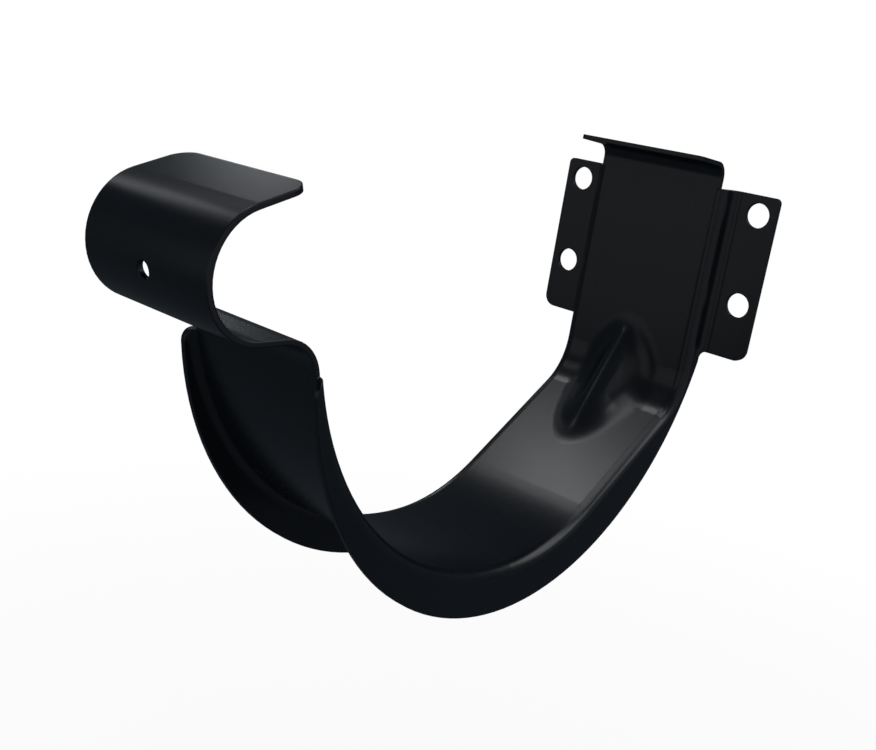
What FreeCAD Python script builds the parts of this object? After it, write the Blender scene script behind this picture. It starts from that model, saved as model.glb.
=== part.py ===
import FreeCAD, Part
import math
import os
import re
import Sketcher

os.makedirs("parts", exist_ok=True)

# Gutter bracket pressed from one strip of sheet steel.
# X runs along the gutter, -Y points away from the wall, Z points up.
# The origin is the middle of the four screw holes, on the plane of the wall.

doc = FreeCAD.newDocument("GutterBracket")

# Driving dimensions in millimetres and degrees.
DIMENSIONS = {
    # Sheet and its bends across the strip
    "SheetThickness": 1,
    "BendRadius": 2.6,
    "EarBendRadius": 2.1,
    # Cradle under the gutter
    "GutterRadius": 61.9,
    "GutterCentreDrop": 1.85,
    "RearInset": -0.1,
    "RearRadius": 44.9,
    "RampAngle": 34.2,
    "KinkRadius": 12.5,
    "CradleWidth": 35,
    # Flanges on both sides of the cradle
    "FlangeDrop": 8.5,
    "FlangeTopAngle": 0.6613,
    "FlangeCornerRadius": 2.6,
    # Plate against the wall
    "PlateWidth": 57.3,
    "EarTopRadius": 1.2,
    "EarBottomRadius": 2.8,
    "EarRootRadius": 1.5,
    "HoleSpacingUp": 20.8,
    "HoleSideMargin": 4.6,
    "HoleTopMargin": 4.5,
    "HoleBottomMargin": 12.6,
    "ScrewHoleDiameter": 5.6,
    # Lip above the plate
    "LipInset": 1.6,
    "LipRise": 5,
    "LipAngle": 5.3,
    "LipLength": 8.7,
    "LipBendRadius": 2.8,
    "LipCornerRadius": 1,
    # Crest, ledge and hook for the front bead of the gutter
    "CrestRadius": 7.9,
    "LedgeDrop": 11,
    "LedgeLength": 5,
    "HookRadius": 9.9,
    "HookLipAngle": 17.4,
    "HookLipLength": 10,
    "HookInset": 2.3,
    "HookCornerRadius": 3.5,
    "HookHoleDiameter": 2.9,
    "HookHoleAngle": 12.8,
    # Rib pressed into the corner between plate and cradle
    "RibCrestRadius": 3.4,
    "RibFlankAngle": 36,
    "RibTopDrop": 20.5,
    "RibSlope": 55.5,
    "RibBlendRadius": 9,
}

sheet = doc.addObject("Spreadsheet::Sheet", "Dimensions")
for row, (alias, number) in enumerate(DIMENSIONS.items(), start=1):
    sheet.set(f"A{row}", alias)
    sheet.set(f"B{row}", str(number))
    sheet.setAlias(f"B{row}", alias)
doc.recompute()

# Places that follow from the driving dimensions. A capital starts the name of a cell.
PANEL_OUT = "(BendRadius + EarBendRadius + SheetThickness)"
PLATE_TOP = "(HoleSpacingUp / 2 + HoleTopMargin)"
PLATE_BOTTOM = "(HoleSpacingUp / 2 + HoleBottomMargin)"
HOLE_ALONG = "(PlateWidth / 2 - HoleSideMargin)"
GUTTER_OUT = "(GutterRadius - RearInset)"
CREST_OUT = (
    f"({GUTTER_OUT} + sqrt((GutterRadius + CrestRadius) ^ 2"
    " - (LedgeDrop + CrestRadius - GutterCentreDrop) ^ 2))"
)
FLANGE_TOP = (
    "(180 deg + asin((LedgeDrop + CrestRadius - GutterCentreDrop) / (GutterRadius + CrestRadius))"
    " + FlangeTopAngle * 1 deg)"
)
RAMP = "(RampAngle * 1 deg)"
RIB_ABOVE = (
    f"(sin{RAMP} * ({PANEL_OUT} - {GUTTER_OUT} + RearRadius * sin{RAMP})"
    f" + cos{RAMP} * (GutterCentreDrop + GutterRadius - RearRadius + RearRadius * cos{RAMP} - RibTopDrop))"
)
RIB_RUN = f"({RIB_ABOVE} / sin((RibSlope - RampAngle) * 1 deg))"
RIB_DEPTH = f"({RIB_ABOVE} / cos{RAMP} * cos(RibSlope * 1 deg) + 2 * SheetThickness)"
RIB_FLANK = "(RibFlankAngle * 1 deg)"
RIB_HALF = f"({RIB_DEPTH} * tan{RIB_FLANK} + RibCrestRadius * (1 - sin{RIB_FLANK}) / cos{RIB_FLANK})"

# The same places as numbers, where the sketches are first drawn.
sheet_thickness = DIMENSIONS["SheetThickness"]
gutter_radius = DIMENSIONS["GutterRadius"]
rear_radius = DIMENSIONS["RearRadius"]
kink_radius = DIMENSIONS["KinkRadius"]
crest_radius = DIMENSIONS["CrestRadius"]
hook_radius = DIMENSIONS["HookRadius"]
ramp_angle = math.radians(DIMENSIONS["RampAngle"])
panel_out = DIMENSIONS["BendRadius"] + DIMENSIONS["EarBendRadius"] + sheet_thickness
plate_top = DIMENSIONS["HoleSpacingUp"] / 2 + DIMENSIONS["HoleTopMargin"]
plate_bottom = DIMENSIONS["HoleSpacingUp"] / 2 + DIMENSIONS["HoleBottomMargin"]
gutter_centre = (DIMENSIONS["RearInset"] - gutter_radius, -DIMENSIONS["GutterCentreDrop"])
rear_centre = (gutter_centre[0], gutter_centre[1] - gutter_radius + rear_radius)
crest_up = -DIMENSIONS["LedgeDrop"] - crest_radius
crest_reach = math.sqrt((gutter_radius + crest_radius) ** 2 - (crest_up - gutter_centre[1]) ** 2)
crest_centre = (gutter_centre[0] - crest_reach, crest_up)
hook_centre = (crest_centre[0] - DIMENSIONS["LedgeLength"], hook_radius - DIMENSIONS["LedgeDrop"])
crest_below = math.asin((gutter_centre[1] - crest_up) / (gutter_radius + crest_radius))
flange_top = 180 + math.degrees(crest_below) + DIMENSIONS["FlangeTopAngle"]
flange_centre = (gutter_centre[0], gutter_centre[1] - DIMENSIONS["FlangeDrop"])
flange_radius = gutter_radius + sheet_thickness
rib_top = (-panel_out, -DIMENSIONS["RibTopDrop"])
rib_slope = math.radians(DIMENSIONS["RibSlope"])
rib_above = math.sin(ramp_angle) * (
    rear_centre[0] + rear_radius * math.sin(ramp_angle) - rib_top[0]
) - math.cos(ramp_angle) * (rear_centre[1] - rear_radius * math.cos(ramp_angle) - rib_top[1])
rib_depth = rib_above / math.cos(ramp_angle) * math.cos(rib_slope) + 2 * sheet_thickness


def bound(text):
    """Formula for the sheet, with each cell's name written as a reference."""
    return re.sub(r"\b([A-Z]\w+)", r"Dimensions.\1", text)


def polar(centre, radius, angle):
    """Point at a radius and an angle in degrees from a centre."""
    turn = math.radians(angle)
    return (centre[0] + radius * math.cos(turn), centre[1] + radius * math.sin(turn))


def heading(start, end):
    """Angle of the line from start to end, in degrees from 0 to 360."""
    return math.degrees(math.atan2(end[1] - start[1], end[0] - start[0])) % 360


class Outline:
    """Sketch on an origin plane of a body, with short names for what it is drawn from."""

    START, END, MIDDLE = range(1, 4)
    ORIGIN = (-1, 1)

    def __init__(self, body, name, role):
        origin_plane = next(item for item in body.Origin.OriginFeatures if item.Role == role)
        self.sketch = body.newObject("Sketcher::SketchObject", name)
        self.sketch.AttachmentSupport = [(origin_plane, "")]
        self.sketch.MapMode = "FlatFace"

    def line(self, start, end, construction=False):
        segment = Part.LineSegment(FreeCAD.Vector(*start, 0), FreeCAD.Vector(*end, 0))
        return self.sketch.addGeometry(segment, construction)

    def arc(self, centre, radius, start, end):
        """Arc that turns anticlockwise from one angle to the other."""
        circle = Part.Circle(FreeCAD.Vector(*centre, 0), FreeCAD.Vector(0, 0, 1), radius)
        piece = Part.ArcOfCircle(circle, math.radians(start), math.radians(end))
        return self.sketch.addGeometry(piece, False)

    def circle(self, centre, radius):
        circle = Part.Circle(FreeCAD.Vector(*centre, 0), FreeCAD.Vector(0, 0, 1), radius)
        return self.sketch.addGeometry(circle, False)

    def fix(self, kind, *places):
        """Constraint without a size, such as Tangent or Vertical."""
        self.sketch.addConstraint(Sketcher.Constraint(kind, *places))

    def drive(self, kind, places, text, value):
        """Constraint whose size follows a formula of the sheet."""
        if kind == "Angle":
            value = math.radians(value)
        index = self.sketch.addConstraint(Sketcher.Constraint(kind, *places, value))
        self.sketch.setExpression(f"Constraints[{index}]", bound(text))

    def place(self, geometry, corner, along=None, up=None):
        """Distances of a point from the origin, each as (formula, number)."""
        signed = self.point(geometry, corner)
        for kind, wanted, value in (("DistanceX", along, signed[0]), ("DistanceY", up, signed[1])):
            if wanted is None:
                continue
            if value < 0:
                self.drive(kind, (geometry, corner, *self.ORIGIN), wanted, -value)
            else:
                self.drive(kind, (*self.ORIGIN, geometry, corner), wanted, value)

    def point(self, geometry, corner):
        vector = self.sketch.getPoint(geometry, corner)
        return (vector.x, vector.y)

    def join(self, *corners):
        """Join the ends of geometry, given as pairs of (geometry, corner)."""
        for first, second in corners:
            self.fix("Coincident", *first, *second)


def web_line(outline, top, front_angle, offset_text, offset):
    """Panel, kink, ramp and cradle arcs as one chain, offset from the side of the gutter."""
    start, end, middle = Outline.START, Outline.END, Outline.MIDDLE
    slope = DIMENSIONS["RampAngle"]
    foot = polar(rear_centre, rear_radius + offset, slope - 90)
    kink_out = panel_out + kink_radius
    along_ramp = (
        polar(rear_centre, rear_radius - kink_radius, slope - 90)[0] + kink_out
    ) / -math.cos(ramp_angle)
    kink_foot = polar(rear_centre, rear_radius - kink_radius, slope - 90)
    kink_centre = polar(kink_foot, along_ramp, slope)
    panel = outline.line((offset - panel_out, top), (offset - panel_out, kink_centre[1]))
    kink = outline.arc(kink_centre, kink_radius + offset, slope - 90, 0)
    ramp = outline.line(foot, polar(kink_centre, kink_radius + offset, slope - 90))
    rear = outline.arc(rear_centre, rear_radius + offset, 270, 270 + slope)
    front = outline.arc(gutter_centre, gutter_radius + offset, front_angle, 270)
    outline.fix("Vertical", panel)
    outline.fix("Tangent", panel, end, kink, end)
    outline.fix("Tangent", kink, start, ramp, end)
    outline.fix("Tangent", ramp, start, rear, end)
    outline.fix("Tangent", rear, start, front, end)
    outline.fix("Vertical", front, end, front, middle)
    outline.drive("Angle", (ramp,), "RampAngle", slope)
    outline.drive("Radius", (kink,), f"KinkRadius{offset_text}", kink_radius + offset)
    outline.drive("Radius", (rear,), f"RearRadius{offset_text}", rear_radius + offset)
    outline.drive("Radius", (front,), f"GutterRadius{offset_text}", gutter_radius + offset)
    outline.place(front, middle, GUTTER_OUT, "GutterCentreDrop")
    outline.place(panel, end, f"{PANEL_OUT}" + offset_text.replace("+", "-"))
    return panel, front


def set_sizes(feature, **formulas):
    """Bind properties of a feature to the sheet."""
    for name, text in formulas.items():
        feature.setExpression(name, bound(text))


def add_feature(body, kind, name, sketch, **formulas):
    """Pad, pocket or other sketched feature, refined, with its sizes bound."""
    feature = body.newObject(f"PartDesign::{kind}", name)
    feature.Profile = sketch
    feature.Refine = True
    set_sizes(feature, **formulas)
    sketch.Visibility = False
    return feature


def add_fillet(body, name, radius, chosen):
    """Fillet on the edges of the body so far for which chosen(edge) is true."""
    doc.recompute()
    base = body.Tip
    edges = [f"Edge{i}" for i, edge in enumerate(base.Shape.Edges, start=1) if chosen(edge)]
    feature = body.newObject("PartDesign::Fillet", name)
    feature.Base = (base, edges)
    feature.Refine = True
    set_sizes(feature, Radius=radius)
    return feature


def middle_of(edge):
    return edge.valueAt((edge.FirstParameter + edge.LastParameter) / 2)


def lies_at(edge, across):
    """True for an edge whose ends and middle have the same distance from the plane of symmetry."""
    points = [vertex.Point for vertex in edge.Vertexes] + [middle_of(edge)]
    return all(abs(abs(point.x) - across) < 1e-4 for point in points)


def off_web(point, offset):
    """Distance of a point in front of the web line with an offset, 0 on the line."""
    kink_level = kink_centre_level()
    if point.z > kink_level:
        return abs(point.y - (offset - panel_out))
    from_gutter = math.hypot(point.y - gutter_centre[0], point.z - gutter_centre[1])
    from_rear = math.hypot(point.y - rear_centre[0], point.z - rear_centre[1])
    slope = DIMENSIONS["RampAngle"]
    foot = polar(rear_centre, rear_radius, slope - 90)
    across_ramp = (point.z - foot[1]) * math.cos(ramp_angle) - (point.y - foot[0]) * math.sin(ramp_angle)
    kink_out = panel_out + kink_radius
    from_kink = math.hypot(point.y + kink_out, point.z - kink_level)
    return min(
        abs(from_gutter - gutter_radius - offset),
        abs(from_rear - rear_radius - offset),
        abs(across_ramp + offset),
        abs(from_kink - kink_radius - offset),
    )


def kink_centre_level():
    """Height of the centre of the kink between panel and ramp."""
    slope = DIMENSIONS["RampAngle"]
    foot = polar(rear_centre, rear_radius - kink_radius, slope - 90)
    return foot[1] - (foot[0] + panel_out + kink_radius) * math.tan(ramp_angle)


def make_cradle(body):
    """Bent channel under the gutter, with its two flanges, up to the ears."""
    start, end, middle = Outline.START, Outline.END, Outline.MIDDLE
    top_level = -plate_bottom
    radial = flange_top
    corner = DIMENSIONS["FlangeCornerRadius"]
    outline = Outline(body, "CradleOutline", "YZ_Plane")
    panel, front = web_line(outline, top_level, radial, "", 0)
    # The corner's centre lies one corner radius below the radial line and inside the free edge.
    root = polar(gutter_centre, corner, radial + 90)
    low = (root[0] - flange_centre[0], root[1] - flange_centre[1])
    along = polar((0, 0), 1, radial)
    half = low[0] * along[0] + low[1] * along[1]
    inside = low[0] ** 2 + low[1] ** 2 - (flange_radius - corner) ** 2
    corner_centre = polar(root, -half + math.sqrt(half ** 2 - inside), radial)
    leaving = heading(flange_centre, corner_centre)
    arriving = 360 - math.degrees(math.acos((-sheet_thickness - flange_centre[0]) / flange_radius))
    top = outline.line((-sheet_thickness, top_level), (-panel_out, top_level))
    radial_end = outline.line(
        polar(gutter_centre, gutter_radius, radial), polar(corner_centre, corner, radial - 90)
    )
    rounding = outline.arc(corner_centre, corner, radial - 90, leaving)
    free_edge = outline.arc(flange_centre, flange_radius, leaving, arriving)
    back = outline.line(polar(flange_centre, flange_radius, arriving), (-sheet_thickness, top_level))
    outline.join(
        ((top, end), (panel, start)),
        ((front, start), (radial_end, start)),
        ((free_edge, end), (back, start)),
        ((back, end), (top, start)),
    )
    outline.fix("Horizontal", top)
    outline.fix("Vertical", back)
    outline.fix("PointOnObject", front, middle, radial_end)
    outline.fix("Tangent", radial_end, end, rounding, start)
    outline.fix("Tangent", rounding, end, free_edge, start)
    outline.fix("Vertical", front, middle, free_edge, middle)
    outline.drive("Angle", (radial_end,), FLANGE_TOP, radial)
    outline.drive("Radius", (rounding,), "FlangeCornerRadius", corner)
    outline.drive("Radius", (free_edge,), "GutterRadius + SheetThickness", flange_radius)
    outline.drive("DistanceY", (free_edge, middle, front, middle), "FlangeDrop", DIMENSIONS["FlangeDrop"])
    outline.place(top, start, "SheetThickness", PLATE_BOTTOM)
    block = add_feature(body, "Pad", "CradleBlock", outline.sketch, Length="CradleWidth")
    block.Midplane = True

    hollow_front = radial - 6
    hollow = Outline(body, "HollowOutline", "YZ_Plane")
    roof = plate_top + 5
    panel, front = web_line(hollow, roof, hollow_front, " + SheetThickness", sheet_thickness)
    lip = polar(gutter_centre, gutter_radius + sheet_thickness, hollow_front)
    reach = polar(gutter_centre, gutter_radius + 20, hollow_front)
    deep = gutter_centre[1] - gutter_radius - 30
    corners = [lip, reach, (reach[0], deep), (20, deep), (20, roof), (sheet_thickness - panel_out, roof)]
    sides = [hollow.line(first, last) for first, last in zip(corners, corners[1:])]
    hollow.join(
        *(((first, end), (last, start)) for first, last in zip(sides, sides[1:])),
        ((front, start), (sides[0], start)),
        ((sides[-1], end), (panel, start)),
    )
    hollow.fix("PointOnObject", front, middle, sides[0])
    for side, kind in zip(sides[1:], ("Vertical", "Horizontal", "Vertical", "Horizontal")):
        hollow.fix(kind, side)
    hollow.drive("Angle", (sides[0],), f"{FLANGE_TOP} - 6 deg", hollow_front)
    hollow.drive("Distance", (front, middle, sides[0], end), "GutterRadius + 20", gutter_radius + 20)
    hollow.place(sides[3], start, None, "GutterCentreDrop + GutterRadius + 30")
    hollow.place(sides[3], end, "20", f"{PLATE_TOP} + 5")
    inside = add_feature(
        body, "Pocket", "CradleHollow", hollow.sketch, Length="CradleWidth - 2 * SheetThickness"
    )
    inside.Midplane = True
    half_width = DIMENSIONS["CradleWidth"] / 2
    for name, radius, across, depth in (
        ("CradleInsideBends", "BendRadius - SheetThickness", half_width - sheet_thickness, sheet_thickness),
        ("CradleBends", "BendRadius", half_width, 0),
    ):
        add_fillet(
            body, name, radius,
            lambda edge: lies_at(edge, across) and off_web(middle_of(edge), depth) < 1e-3,
        )
    return hollow.sketch


def make_wall_plate(body):
    """Hat section against the wall: the panel, its two joggles and the two ears."""
    start, end, middle = Outline.START, Outline.END, Outline.MIDDLE
    bend = DIMENSIONS["BendRadius"]
    ear_bend = DIMENSIONS["EarBendRadius"]
    half_plate = DIMENSIONS["PlateWidth"] / 2
    half_cradle = DIMENSIONS["CradleWidth"] / 2
    outer = (half_cradle + ear_bend, -sheet_thickness - ear_bend)
    inner = (half_cradle - bend, -sheet_thickness - ear_bend)
    outline = Outline(body, "HatOutline", "XY_Plane")
    chains = {}
    for side in (1, -1):
        def across(spot):
            return (side * spot[0], spot[1])

        def turned(low, high):
            return (low, high) if side == 1 else (180 - high, 180 - low)

        front_ear = outline.line(
            across((half_plate, -sheet_thickness)), across((outer[0], -sheet_thickness))
        )
        front_outer = outline.arc(across(outer), ear_bend, *turned(90, 180))
        front_inner = outline.arc(across(inner), bend, *turned(-90, 0))
        back_inner = outline.arc(across(inner), bend - sheet_thickness, *turned(-90, 0))
        back_outer = outline.arc(across(outer), ear_bend + sheet_thickness, *turned(90, 180))
        back_ear = outline.line(across((outer[0], 0)), across((half_plate, 0)))
        edge = outline.line(across((half_plate, 0)), across((half_plate, -sheet_thickness)))
        near, far = (start, end) if side == 1 else (end, start)
        outline.fix("Tangent", front_ear, end, front_outer, near)
        outline.fix("Tangent", front_outer, far, front_inner, far)
        outline.fix("Tangent", back_outer, near, back_ear, start)
        outline.fix("Tangent", back_inner, far, back_outer, far)
        outline.fix("Coincident", front_outer, middle, back_outer, middle)
        outline.fix("Coincident", front_inner, middle, back_inner, middle)
        outline.join(((back_ear, end), (edge, start)), ((edge, end), (front_ear, start)))
        outline.fix("Horizontal", front_ear)
        outline.fix("Horizontal", back_ear)
        outline.fix("Vertical", edge)
        outline.fix("Horizontal", front_outer, middle, front_inner, middle)
        outline.drive("Radius", (front_outer,), "EarBendRadius", ear_bend)
        outline.drive("Radius", (front_inner,), "BendRadius", bend)
        outline.place(edge, start, "PlateWidth / 2")
        outline.place(front_outer, middle, "CradleWidth / 2 + EarBendRadius")
        outline.fix("PointOnObject", edge, start, -1)
        outline.drive("DistanceY", (edge, end, edge, start), "SheetThickness", sheet_thickness)
        chains[side] = (front_inner, back_inner, near)
    right_front, right_back, near = chains[1]
    left_front, left_back, mirror_near = chains[-1]
    front = outline.line((inner[0], -panel_out), (-inner[0], -panel_out))
    back = outline.line((inner[0], sheet_thickness - panel_out), (-inner[0], sheet_thickness - panel_out))
    for panel, right, left in ((front, right_front, left_front), (back, right_back, left_back)):
        outline.fix("Tangent", panel, start, right, near)
        outline.fix("Tangent", panel, end, left, mirror_near)
    plate = add_feature(body, "Pad", "WallPlate", outline.sketch)
    plate.SideType = "Two sides"
    set_sizes(plate, Length=PLATE_TOP, Length2=f"{PLATE_BOTTOM} + EarRootRadius")

    # The outline of the ears below is cut with a round root against the flanges.
    root_radius = DIMENSIONS["EarRootRadius"]
    level = -plate_bottom
    roots = Outline(body, "EarRootOutline", "XZ_Plane")
    for side in (1, -1):
        low = level - root_radius - 1
        wall = (side * half_cradle, level - root_radius)
        outside = side * (half_plate + 1)
        centre = (side * (half_cradle + root_radius), level - root_radius)
        rounding = roots.arc(centre, root_radius, *((90, 180) if side == 1 else (0, 90)))
        top = roots.line((centre[0], level), (outside, level))
        right = roots.line((outside, level), (outside, low))
        bottom = roots.line((outside, low), (wall[0], low))
        left = roots.line((wall[0], low), wall)
        near, far = (start, end) if side == 1 else (end, start)
        roots.join(
            ((top, end), (right, start)), ((right, end), (bottom, start)), ((bottom, end), (left, start))
        )
        roots.fix("Tangent", rounding, near, top, start)
        roots.fix("Tangent", left, end, rounding, far)
        for item, kind in ((top, "Horizontal"), (right, "Vertical"), (bottom, "Horizontal"), (left, "Vertical")):
            roots.fix(kind, item)
        roots.drive("Radius", (rounding,), "EarRootRadius", root_radius)
        roots.drive("Distance", (left,), "1", 1)
        roots.place(right, start, "PlateWidth / 2 + 1", PLATE_BOTTOM)
        roots.place(left, start, "CradleWidth / 2")
    trim = add_feature(body, "Pocket", "EarRoots", roots.sketch, Length=f"4 * {PANEL_OUT}")
    trim.Midplane = True

    def ear_corner(edge, top):
        spot = middle_of(edge)
        ends = [vertex.Point for vertex in edge.Vertexes]
        along_y = len(ends) == 2 and abs(ends[0].z - ends[1].z) < 1e-4 and abs(ends[0].x - ends[1].x) < 1e-4
        return along_y and abs(abs(spot.x) - half_plate) < 1e-4 and (spot.z > 0) == top

    add_fillet(body, "EarTopCorners", "EarTopRadius", lambda edge: ear_corner(edge, True))
    add_fillet(body, "EarBottomCorners", "EarBottomRadius", lambda edge: ear_corner(edge, False))


def make_rib(body, hollow_sketch):
    """Rib with a round crest and two flanks from the panel to the ramp, pressed hollow from behind."""
    start, end, middle = Outline.START, Outline.END, Outline.MIDDLE
    spare = 3
    crest = DIMENSIONS["RibCrestRadius"]
    slope = DIMENSIONS["RibSlope"]
    flank = DIMENSIONS["RibFlankAngle"]
    flank_out = polar((0, 0), 1, flank)
    height_way = polar((0, 0), 1, 90 + slope)

    def section(name, inset, inset_text):
        """Section square to the crest, inset by a part of the sheet."""
        outline = Outline(body, name, "XZ_Plane")
        outline.sketch.AttachmentOffset = FreeCAD.Placement(
            FreeCAD.Vector(0, rib_top[1], -rib_top[0]), FreeCAD.Rotation(FreeCAD.Vector(1, 0, 0), slope)
        )
        set_sizes(outline.sketch, **{
            "AttachmentOffset.Base.y": "-RibTopDrop",
            "AttachmentOffset.Base.z": PANEL_OUT,
            "AttachmentOffset.Rotation.Angle": "RibSlope",
        })
        centre = (0, -crest)
        ridge = outline.arc(centre, crest - inset, flank, 180 - flank)
        shoulder = polar(centre, crest - inset, flank)
        half = shoulder[0] + (shoulder[1] + rib_depth) * math.tan(math.radians(flank))
        right = outline.line((half, -rib_depth), shoulder)
        left = outline.line((-half, -rib_depth), (-shoulder[0], shoulder[1]))
        base = outline.line((-half, -rib_depth), (half, -rib_depth))
        outline.join(((base, start), (left, start)), ((base, end), (right, start)))
        outline.fix("Tangent", ridge, start, right, end)
        outline.fix("Tangent", ridge, end, left, end)
        outline.fix("PointOnObject", ridge, middle, -2)
        outline.fix("Horizontal", base)
        outline.place(ridge, middle, None, "RibCrestRadius")
        outline.place(base, start, None, RIB_DEPTH)
        outline.drive("Radius", (ridge,), f"RibCrestRadius{inset_text}", crest - inset)
        outline.drive("Angle", (right,), "90 + RibFlankAngle", 90 + flank)
        outline.drive("Angle", (left,), "90 - RibFlankAngle", 90 - flank)
        return outline.sketch

    def foot_edges(inset):
        """Test for the edges where the rib's outside or inside meets the same side of the web."""
        def on_rib(point):
            height = (
                (point.y - rib_top[0]) * height_way[0] + (point.z - rib_top[1]) * height_way[1] + crest
            )
            from_ridge = math.hypot(point.x, height) - crest + inset
            from_flank = abs(point.x) * flank_out[0] + height * flank_out[1] - crest + inset
            return min(abs(from_ridge), abs(from_flank)) < 1e-3

        def chosen(edge):
            places = [vertex.Point for vertex in edge.Vertexes] + [middle_of(edge)]
            return all(on_rib(place) and off_web(place, inset) < 1e-3 for place in places)

        return chosen

    rib = add_feature(body, "Pad", "Rib", section("RibOutline", 0, ""))
    rib.SideType = "Two sides"
    set_sizes(rib, Length=f"{RIB_RUN} + {spare}", Length2=f"{spare}")
    behind = add_feature(body, "Pocket", "RibBack", hollow_sketch, Length=f"2 * {RIB_HALF} + 1")
    behind.Midplane = True
    add_fillet(body, "RibBlend", "RibBlendRadius", foot_edges(0))
    core = section("RibHollowOutline", sheet_thickness, " - SheetThickness")
    hollow = add_feature(body, "Pocket", "RibHollow", core)
    hollow.SideType = "Two sides"
    set_sizes(hollow, Length=f"{spare + 2}", Length2=f"{RIB_RUN} + {spare + 2}")
    add_fillet(body, "RibInsideBlend", "RibBlendRadius + SheetThickness", foot_edges(sheet_thickness))


def make_lip(body):
    """Lip bent forward above the plate."""
    start, end, middle = Outline.START, Outline.END, Outline.MIDDLE
    bend = DIMENSIONS["LipBendRadius"]
    angle = DIMENSIONS["LipAngle"]
    level = plate_top
    under = level + DIMENSIONS["LipRise"]
    centre = (-panel_out - bend, under - bend / math.cos(math.radians(angle)))
    outline = Outline(body, "LipOutline", "YZ_Plane")
    front = outline.line((-panel_out, level), (-panel_out, centre[1]))
    inside = outline.arc(centre, bend, 0, 90 - angle)
    under_from = polar(centre, bend, 90 - angle)
    under_to = polar(under_from, DIMENSIONS["LipLength"], 180 - angle)
    underside = outline.line(under_from, under_to)
    upper_to = polar(under_to, sheet_thickness, 90 - angle)
    edge = outline.line(under_to, upper_to)
    upper_from = polar(centre, bend + sheet_thickness, 90 - angle)
    upper = outline.line(upper_to, upper_from)
    outside = outline.arc(centre, bend + sheet_thickness, 0, 90 - angle)
    back = outline.line((sheet_thickness - panel_out, centre[1]), (sheet_thickness - panel_out, level))
    foot = outline.line((sheet_thickness - panel_out, level), (-panel_out, level))
    outline.join(
        ((underside, end), (edge, start)), ((edge, end), (upper, start)),
        ((back, end), (foot, start)), ((foot, end), (front, start)),
    )
    outline.fix("Vertical", front)
    outline.fix("Vertical", back)
    outline.fix("Horizontal", foot)
    outline.fix("Tangent", front, end, inside, start)
    outline.fix("Tangent", inside, end, underside, start)
    outline.fix("Tangent", upper, end, outside, end)
    outline.fix("Tangent", outside, start, back, start)
    outline.fix("Coincident", inside, middle, outside, middle)
    outline.fix("Perpendicular", edge, underside)
    outline.fix("Parallel", upper, underside)
    outline.drive("Radius", (inside,), "LipBendRadius", bend)
    outline.drive("Distance", (edge,), "SheetThickness", sheet_thickness)
    outline.drive("Angle", (underside,), "180 - LipAngle", 180 - angle)
    outline.drive("Distance", (underside,), "LipLength", DIMENSIONS["LipLength"])
    outline.place(foot, end, PANEL_OUT, PLATE_TOP)
    outline.drive(
        "DistanceY", (front, start, front, end),
        "LipRise - LipBendRadius / cos(LipAngle * 1 deg)", centre[1] - level,
    )
    lip = add_feature(body, "Pad", "Lip", outline.sketch, Length="CradleWidth - 2 * LipInset")
    lip.Midplane = True
    half_width = DIMENSIONS["CradleWidth"] / 2 - DIMENSIONS["LipInset"]

    def lip_corner(edge):
        places = [vertex.Point for vertex in edge.Vertexes] + [middle_of(edge)]
        reach = (under_to[0] + upper_to[0]) / 2
        return lies_at(edge, half_width) and all(
            place.z > under - 1 and abs(place.y - reach) < sheet_thickness / 2 + 0.1 for place in places
        )

    add_fillet(body, "LipCorners", "LipCornerRadius", lip_corner)


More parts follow.
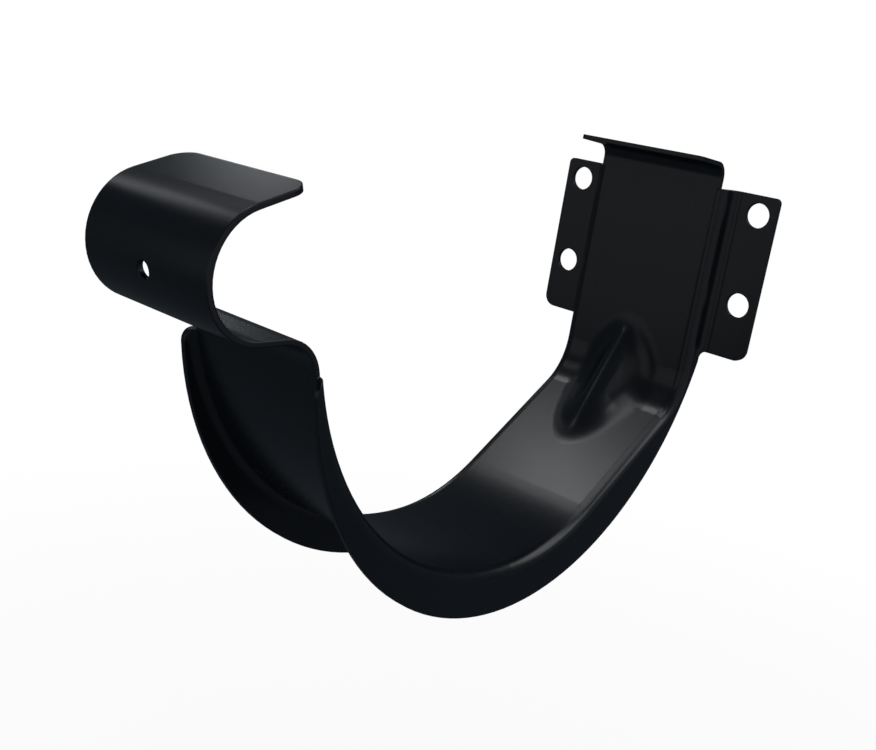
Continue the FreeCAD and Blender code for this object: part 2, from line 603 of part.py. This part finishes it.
def make_hook(body):
    """Crest, ledge and hook that hold the front bead of the gutter."""
    start, end, middle = Outline.START, Outline.END, Outline.MIDDLE
    radial = flange_top
    meeting = heading(gutter_centre, crest_centre)
    lip_angle = DIMENSIONS["HookLipAngle"]
    lip_length = DIMENSIONS["HookLipLength"]
    outline = Outline(body, "HookOutline", "YZ_Plane")
    faces = []
    for offset, offset_text in ((0, ""), (sheet_thickness, " + SheetThickness")):
        web = outline.arc(gutter_centre, gutter_radius + offset, meeting, radial)
        crest = outline.arc(crest_centre, crest_radius - offset, meeting - 180, 90)
        ledge_level = crest_centre[1] + crest_radius - offset
        ledge = outline.line((crest_centre[0], ledge_level), (hook_centre[0], ledge_level))
        hook = outline.arc(hook_centre, hook_radius + offset, 90 + lip_angle, 270)
        lip_from = polar(hook_centre, hook_radius + offset, 90 + lip_angle)
        lip = outline.line(lip_from, polar(lip_from, lip_length, lip_angle))
        outline.fix("Tangent", web, start, crest, start)
        outline.fix("Tangent", crest, end, ledge, start)
        outline.fix("Tangent", ledge, end, hook, end)
        outline.fix("Tangent", hook, start, lip, start)
        outline.drive("Radius", (web,), f"GutterRadius{offset_text}", gutter_radius + offset)
        outline.fix("Horizontal", ledge)
        faces.append((web, crest, ledge, hook, lip))
    upper, lower = faces
    root = outline.line(
        polar(gutter_centre, gutter_radius, radial),
        polar(gutter_centre, gutter_radius + sheet_thickness, radial),
    )
    lip_from = polar(hook_centre, hook_radius, 90 + lip_angle)
    lip_to = polar(lip_from, lip_length, lip_angle)
    edge = outline.line(lip_to, polar(lip_to, sheet_thickness, 90 + lip_angle))
    outline.join(
        ((upper[0], end), (root, start)), ((lower[0], end), (root, end)),
        ((upper[4], end), (edge, start)), ((lower[4], end), (edge, end)),
    )
    for one, other in zip(upper[:2] + upper[3:4], lower[:2] + lower[3:4]):
        outline.fix("Coincident", one, middle, other, middle)
    outline.fix("PointOnObject", upper[0], middle, root)
    outline.fix("Perpendicular", edge, upper[4])
    outline.fix("Parallel", lower[4], upper[4])
    outline.drive("Radius", (upper[1],), "CrestRadius", crest_radius)
    outline.drive("Radius", (upper[3],), "HookRadius", hook_radius)
    outline.drive("Distance", (upper[2],), "LedgeLength", DIMENSIONS["LedgeLength"])
    outline.drive("Distance", (upper[4],), "HookLipLength", lip_length)
    outline.drive("Angle", (upper[4],), "HookLipAngle", lip_angle)
    outline.drive("Angle", (root,), FLANGE_TOP, radial)
    outline.place(upper[0], middle, GUTTER_OUT, "GutterCentreDrop")
    outline.place(upper[2], end, None, "LedgeDrop")
    hook = add_feature(body, "Pad", "Hook", outline.sketch, Length="CradleWidth - 2 * HookInset")
    hook.Midplane = True
    half_width = DIMENSIONS["CradleWidth"] / 2 - DIMENSIONS["HookInset"]
    lip_edge = FreeCAD.Vector(half_width, *polar(lip_to, sheet_thickness / 2, 90 + lip_angle))

    def hook_corner(edge):
        spot = middle_of(edge)
        return FreeCAD.Vector(abs(spot.x), spot.y, spot.z).distanceToPoint(lip_edge) < 1e-3

    add_fillet(body, "HookCorners", "HookCornerRadius", hook_corner)

    # Drain hole through the low front of the hook.
    low = 180 + DIMENSIONS["HookHoleAngle"]
    half_hole = DIMENSIONS["HookHoleDiameter"] / 2
    hole = Outline(body, "HookHoleOutline", "YZ_Plane")
    inner, outer = hook_radius - 1, hook_radius + sheet_thickness + 1
    corners = [polar(hook_centre, inner, low), polar(hook_centre, outer, low)]
    corners += [polar(spot, half_hole, low + 90) for spot in reversed(corners)]
    hole.line(corners[0], corners[1], True)
    sides = [hole.line(*pair) for pair in zip(corners, corners[1:] + corners[:1])]
    hole.join(((0, start), (sides[0], start)), ((0, end), (sides[0], end)))
    for one, other in zip(sides, sides[1:] + sides[:1]):
        hole.fix("Coincident", one, end, other, start)
    for one, other in zip(sides, sides[1:]):
        hole.fix("Perpendicular", one, other)
    arm = hole.line(hook_centre, corners[0], True)
    hole.fix("Coincident", arm, end, sides[0], start)
    hole.fix("Parallel", arm, sides[0])
    hole.place(arm, start, f"{CREST_OUT} + LedgeLength")
    hole.drive(
        "DistanceY", (*Outline.ORIGIN, arm, start) if hook_centre[1] > 0 else (arm, start, *Outline.ORIGIN),
        "HookRadius - LedgeDrop" if hook_centre[1] > 0 else "LedgeDrop - HookRadius", abs(hook_centre[1]),
    )
    hole.drive("Angle", (arm,), "180 + HookHoleAngle", low)
    hole.drive("Distance", (arm,), "HookRadius - 1", inner)
    hole.drive("Distance", (sides[0],), "SheetThickness + 2", outer - inner)
    hole.drive("Distance", (sides[1],), "HookHoleDiameter / 2", half_hole)
    drain = add_feature(body, "Groove", "HookHole", hole.sketch)
    drain.ReferenceAxis = (hole.sketch, ["Axis0"])


def make_screw_holes(body):
    """Four round holes in the ears."""
    half_along = DIMENSIONS["PlateWidth"] / 2 - DIMENSIONS["HoleSideMargin"]
    half_up = DIMENSIONS["HoleSpacingUp"] / 2
    radius = DIMENSIONS["ScrewHoleDiameter"] / 2
    outline = Outline(body, "ScrewHoleOutline", "XZ_Plane")
    for along in (half_along, -half_along):
        for up in (half_up, -half_up):
            ring = outline.circle((along, up), radius)
            outline.drive("Radius", (ring,), "ScrewHoleDiameter / 2", radius)
            outline.place(ring, Outline.MIDDLE, HOLE_ALONG, "HoleSpacingUp / 2")
    holes = add_feature(body, "Pocket", "ScrewHoles", outline.sketch, Length="4 * SheetThickness")
    holes.Midplane = True


bracket = doc.addObject("PartDesign::Body", "Bracket")
bracket.Label = "bracket"
hollow_sketch = make_cradle(bracket)
make_wall_plate(bracket)
make_rib(bracket, hollow_sketch)
make_lip(bracket)
make_hook(bracket)
make_screw_holes(bracket)
doc.recompute()

for item in doc.Objects:
    if "Invalid" in item.State or "Error" in item.State:
        raise RuntimeError(f"{item.Name} did not compute")
    if item.TypeId == "Sketcher::SketchObject" and not item.FullyConstrained:
        raise RuntimeError(f"{item.Name} is not fully constrained")
if bracket.Shape.isNull() or not bracket.Shape.isValid() or len(bracket.Shape.Solids) != 1:
    raise RuntimeError("the bracket is not one valid solid")
bracket.Shape.exportStep(f"parts/{bracket.Label}.step")
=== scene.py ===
import math

import bpy
from mathutils import Matrix, Vector


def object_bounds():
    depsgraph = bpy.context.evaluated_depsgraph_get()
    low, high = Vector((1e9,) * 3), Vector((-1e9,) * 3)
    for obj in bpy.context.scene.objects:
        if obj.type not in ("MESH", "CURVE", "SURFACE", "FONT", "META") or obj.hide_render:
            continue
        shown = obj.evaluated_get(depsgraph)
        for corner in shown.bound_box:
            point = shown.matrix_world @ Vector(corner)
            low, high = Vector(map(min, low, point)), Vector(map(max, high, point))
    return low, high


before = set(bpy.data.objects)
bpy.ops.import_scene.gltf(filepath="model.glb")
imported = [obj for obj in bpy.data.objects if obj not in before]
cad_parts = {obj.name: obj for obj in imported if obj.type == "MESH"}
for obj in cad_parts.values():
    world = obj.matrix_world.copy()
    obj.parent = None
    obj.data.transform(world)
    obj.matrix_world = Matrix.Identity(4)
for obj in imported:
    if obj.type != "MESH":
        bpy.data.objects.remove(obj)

millimetre = 0.001
plainWhite = (1, 1, 1, 1)
straightDown = (0, 0, -1)

cadLow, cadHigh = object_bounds()
print("frame loaded, the bracket is", [round(side / millimetre, 1) for side in cadHigh - cadLow], "mm")


# shader sums

class Sum:
    # wraps one socket, so that shader sums read as plain arithmetic
    def __init__(self, graph, socket):
        self.graph = graph
        self.socket = socket

    def mathNode(self, operation, first, second, clamp=False):
        settings = {"operation": operation, "use_clamp": clamp}
        return self.graph.add("ShaderNodeMath", settings, {0: first, 1: second}).out(0)

    def __add__(self, other):
        return self.mathNode("ADD", self, other)

    def __radd__(self, other):
        return self.mathNode("ADD", other, self)

    def __sub__(self, other):
        return self.mathNode("SUBTRACT", self, other)

    def __rsub__(self, other):
        return self.mathNode("SUBTRACT", other, self)

    def __mul__(self, other):
        return self.mathNode("MULTIPLY", self, other)

    def __rmul__(self, other):
        return self.mathNode("MULTIPLY", other, self)

    def clamped(self):
        return self.mathNode("ADD", self, 0.0, clamp=True)


class Made:
    # a node with its outputs as sums
    def __init__(self, graph, node):
        self.graph = graph
        self.node = node

    def out(self, name):
        return Sum(self.graph, self.node.outputs[name])


class Graph:
    def __init__(self, tree):
        self.tree = tree
        self.tree.nodes.clear()

    def add(self, kind, settings=None, values=None):
        # settings go first, because they decide which sockets are in use
        node = self.tree.nodes.new(kind)
        for name, value in (settings or {}).items():
            setattr(node, name, value)
        for name, value in (values or {}).items():
            if isinstance(value, Sum):
                self.tree.links.new(value.socket, node.inputs[name])
            else:
                node.inputs[name].default_value = value
        return Made(self, node)

    def noise(self, place, size, detail, roughness):
        values = {"Vector": place, "Scale": 1 / size, "Detail": detail, "Roughness": roughness}
        return self.add("ShaderNodeTexNoise", {}, values).out("Fac")

    def mixColours(self, share, first, second):
        # a Mix node that is set to colours takes them at sockets 6 and 7 and gives its result at 2
        return self.add("ShaderNodeMix", {"data_type": "RGBA"}, {0: share, 6: first, 7: second}).out(2)

    def mixShaders(self, share, first, second):
        return self.add("ShaderNodeMixShader", {}, {0: share, 1: first, 2: second}).out(0)


def newMaterial(name):
    material = bpy.data.materials.new(name)
    material.use_nodes = True
    return material, Graph(material.node_tree)


# coating

coating = {
    "colour": (0.0024, 0.0038, 0.0060, 1),
    "paleColour": (0.0032, 0.0048, 0.0073, 1),
    "refraction": 1.5,
    "roughness": 0.27,
    "roughnessSpread": 0.03,
    "blotchSize": 0.018,  # metres across a patch of slightly different sheen
    "blotchDetail": 3.0,
    "blotchRoughness": 0.5,
    "blotchMiddle": 0.5,  # the noise value at which the coating has the roughness above
    "peelSize": 0.0011,  # metres between the ripples of the coating
    "peelDetail": 1.5,
    "peelRoughness": 0.4,
    "peelHeight": 0.000004,
    "edgeRadius": 0.0004,
    "edgeSamples": 8,
}


def makeCoating(facts):
    material, graph = newMaterial("SatinBlackCoating")
    place = graph.add("ShaderNodeTexCoord").out("Object")
    blotch = graph.noise(place, facts["blotchSize"], facts["blotchDetail"], facts["blotchRoughness"])
    peel = graph.noise(place, facts["peelSize"], facts["peelDetail"], facts["peelRoughness"])
    tone = graph.mixColours(blotch, facts["colour"], facts["paleColour"])
    roughness = facts["roughness"] + (blotch - facts["blotchMiddle"]) * facts["roughnessSpread"]
    rounded = graph.add(
        "ShaderNodeBevel", {"samples": facts["edgeSamples"]}, {"Radius": facts["edgeRadius"]}
    ).out("Normal")
    bumped = graph.add(
        "ShaderNodeBump", {}, {"Height": peel, "Distance": facts["peelHeight"], "Normal": rounded}
    ).out("Normal")
    shader = graph.add(
        "ShaderNodeBsdfPrincipled", {},
        {"Base Color": tone, "Roughness": roughness, "Normal": bumped, "IOR": facts["refraction"]},
    ).out("BSDF")
    graph.add("ShaderNodeOutputMaterial", {}, {"Surface": shader})
    return material


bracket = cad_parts["bracket"]
bracketCoating = makeCoating(coating)
for slot in bracket.material_slots:
    slot.material = bracketCoating
print("coating made")


# studio

studio = {
    "floorDrop": 0.15,  # metres from the bracket's lowest point to the floor
    "floorSize": 6.0,
    "floorColour": (0.8, 0.8, 0.8, 1),
    "shadowShare": 0.15,  # how much of the floor's own shading the camera sees under the bracket
    "shadowReach": 0.45,  # metres from the bracket to where the floor is plain white
    "roomLight": 0.45,  # the world's strength for the rays that light the bracket
    "roomShine": (0.045, 0.055, 0.065, 1),  # the dim room that the coating reflects
    "lampColour": (0.94, 0.97, 1.0),
    # a lamp's glow is the brightness of its face, where 1 is white
    "lamps": {
        "farBox": {
            "at": (-0.48, -0.07, 0.80), "facing": straightDown, "size": (0.125, 0.06), "glow": 19.0,
        },
        "leftBox": {
            "at": (-0.47, -0.03, 0.39), "facing": straightDown, "size": (0.08, 0.25), "glow": 0.6,
        },
        "longStrip": {
            "at": (0.09, -0.083, 0.50), "facing": straightDown, "size": (0.63, 0.06), "glow": 4.2,
        },
        "rightBox": {
            "at": (0.22, 0.11, 0.16), "facing": straightDown, "size": (0.34, 0.18), "glow": 1.9,
        },
        "rearBox": {
            "at": (-0.78, 0.42, 0.37), "facing": straightDown, "size": (0.16, 0.145), "glow": 5.2,
        },
        "ribLamp": {
            "at": (-0.155, -0.145, 0.12), "facing": (0.155, 0.13, -0.155), "size": (0.03, 0.05), "glow": 1.5,
        },
        "frontWall": {
            "at": (-0.10, -0.80, 0.0), "facing": (0, 1, 0), "size": (1.2, 0.6), "glow": 0.25,
        },
        "rightWall": {
            "at": (0.60, -0.15, 0.0), "facing": (-1, 0, 0), "size": (1.2, 0.6), "glow": 0.19,
        },
    },
}


def makeFloor(facts):
    level = cadLow.z - facts["floorDrop"]
    bpy.ops.mesh.primitive_plane_add(size=facts["floorSize"], location=(0, 0, level))
    floor = bpy.context.object
    floor.name = "floor"
    material, graph = newMaterial("WhiteFloor")
    path = graph.add("ShaderNodeLightPath")
    place = graph.add("ShaderNodeTexCoord").out("Object")
    away = graph.add("ShaderNodeVectorMath", {"operation": "LENGTH"}, {0: place}).out("Value")
    nearness = (1.0 - away * (1 / facts["shadowReach"])).clamped()
    ownShade = graph.add("ShaderNodeBsdfDiffuse", {}, {"Color": facts["floorColour"]}).out("BSDF")
    white = graph.add("ShaderNodeEmission", {}, {"Color": plainWhite}).out("Emission")
    # painted reflection: glossy rays see the floor as a dim glow in the room's shine colour, not as its own
    # lit shading
    dim = graph.add("ShaderNodeEmission", {}, {"Color": facts["roomShine"]}).out("Emission")
    looking = path.out("Is Camera Ray") + path.out("Is Transmission Ray")
    whiteShare = looking * (1.0 - nearness * facts["shadowShare"])
    seen = graph.mixShaders(whiteShare, ownShade, white)
    shone = graph.mixShaders(path.out("Is Glossy Ray"), seen, dim)
    graph.add("ShaderNodeOutputMaterial", {}, {"Surface": shone})
    floor.data.materials.append(material)


def makeRoom(facts):
    world = bpy.data.worlds.new("Room")
    world.use_nodes = True
    graph = Graph(world.node_tree)
    path = graph.add("ShaderNodeLightPath")
    room = facts["roomLight"]
    looking = path.out("Is Camera Ray") + path.out("Is Transmission Ray")
    brightness = room + looking * (1 - room)
    lit = graph.add("ShaderNodeBackground", {}, {"Color": plainWhite, "Strength": brightness}).out(0)
    shine = graph.add("ShaderNodeBackground", {}, {"Color": facts["roomShine"]}).out(0)
    mixed = graph.mixShaders(path.out("Is Glossy Ray"), lit, shine)
    graph.add("ShaderNodeOutputWorld", {}, {"Surface": mixed})
    bpy.context.scene.world = world


def makeLamp(name, facts, colour):
    lamp = bpy.data.lights.new(name, "AREA")
    lamp.shape = "RECTANGLE"
    lamp.size, lamp.size_y = facts["size"]
    lamp.energy = facts["glow"] * math.pi * lamp.size * lamp.size_y
    lamp.color = colour
    holder = bpy.data.objects.new(name, lamp)
    bpy.context.scene.collection.objects.link(holder)
    holder.location = facts["at"]
    holder.rotation_euler = Vector(facts["facing"]).to_track_quat("-Z", "Y").to_euler()
    holder.visible_camera = False


makeFloor(studio)
makeRoom(studio)
for lampName, lampFacts in studio["lamps"].items():
    makeLamp(lampName, lampFacts, studio["lampColour"])
print("studio lit")


# camera

lookout = {
    "at": (0.13599, -0.24101, 0.03066),
    "azimuth": 39.27,  # degrees from straight in front, to the bracket's left
    "elevation": 14.95,
    "roll": 9.07,
    "lens": 46.3,
    "sensorWidth": 36,
    "nearest": 0.01,  # metres in front of the camera where the picture starts
}


def makeCamera(facts):
    turn, lift, roll = (math.radians(facts[name]) for name in ("azimuth", "elevation", "roll"))
    back = Vector((math.sin(turn) * math.cos(lift), -math.cos(turn) * math.cos(lift), math.sin(lift)))
    levelRight = Vector((math.cos(turn), math.sin(turn), 0))
    levelUp = back.cross(levelRight)
    right = levelRight * math.cos(roll) + levelUp * math.sin(roll)
    up = levelUp * math.cos(roll) - levelRight * math.sin(roll)
    turned = Matrix((right, up, back)).transposed().to_4x4()
    camera = bpy.data.objects.new("camera", bpy.data.cameras.new("camera"))
    camera.data.sensor_width = facts["sensorWidth"]
    camera.data.lens = facts["lens"]
    camera.data.clip_start = facts["nearest"]
    camera.matrix_world = Matrix.Translation(facts["at"]) @ turned
    bpy.context.scene.collection.objects.link(camera)
    bpy.context.scene.camera = camera


makeCamera(lookout)
bpy.context.scene.view_settings.view_transform = "Standard"
print("camera set")
